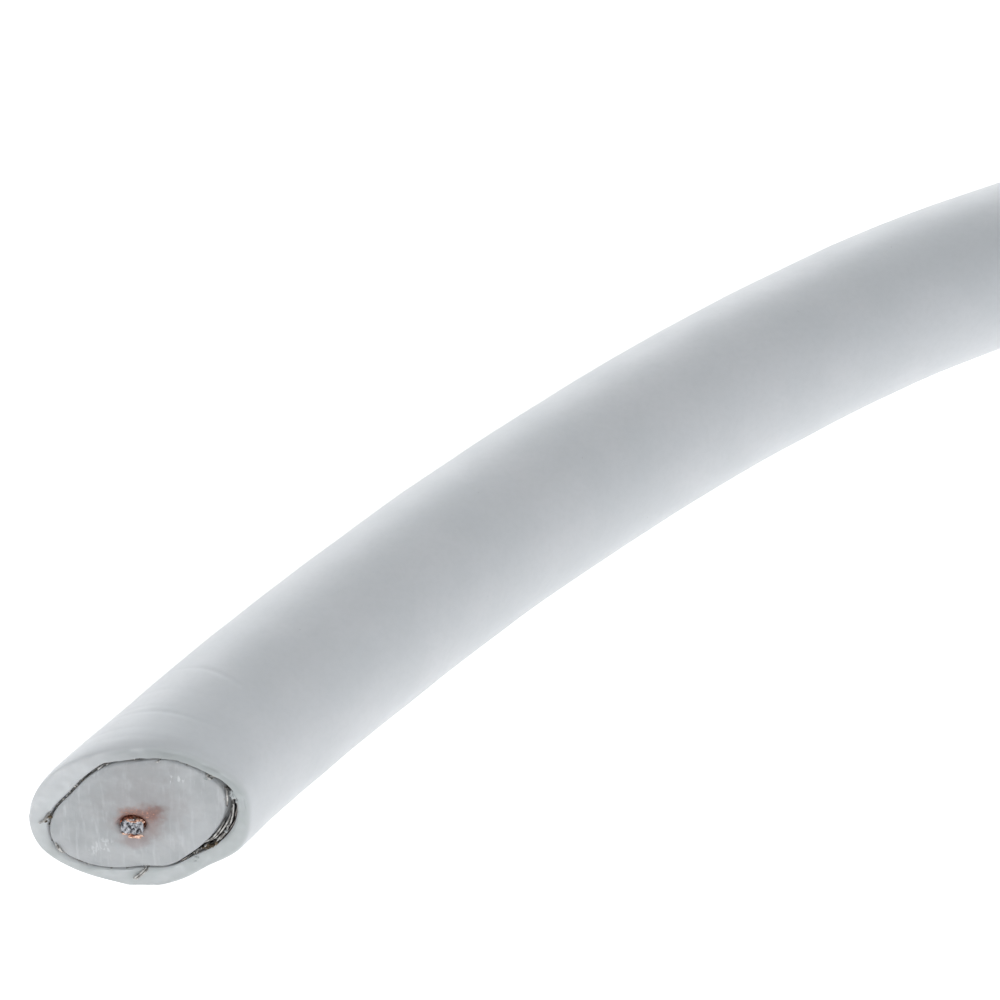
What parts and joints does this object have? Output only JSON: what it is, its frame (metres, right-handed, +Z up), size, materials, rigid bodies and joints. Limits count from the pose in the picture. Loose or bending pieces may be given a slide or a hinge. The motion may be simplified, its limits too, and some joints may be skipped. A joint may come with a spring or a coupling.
{
  "type": "coaxial cable coil",
  "caption": "Flat round coil of white coaxial cable held by cable ties, with one free end led out and cut slantwise to show its layers.",
  "frame": {"origin": "middle of the part's box, on the floor that it lies on", "axes": "+Z up along the coil's axis, +X from the cut free end towards the coil's far side"},
  "size_m": [0.1994, 0.1596, 0.0343],
  "materials": {
    "jacket": "smooth satin PVC",
    "shield": "foil and fine braid",
    "dielectric": "translucent polyethylene",
    "conductor": "copper-clad, sheared",
    "tie": "moulded nylon"
  },
  "bodies": {
    "root": {"coil_turns": "jacket", "jacket": "jacket", "shield": "shield", "dielectric": "dielectric", "centre_conductor": "conductor", "cable_tie_1": "tie", "cable_tie_2": "tie", "cable_tie_3": "tie"}
  },
  "joints": []
}
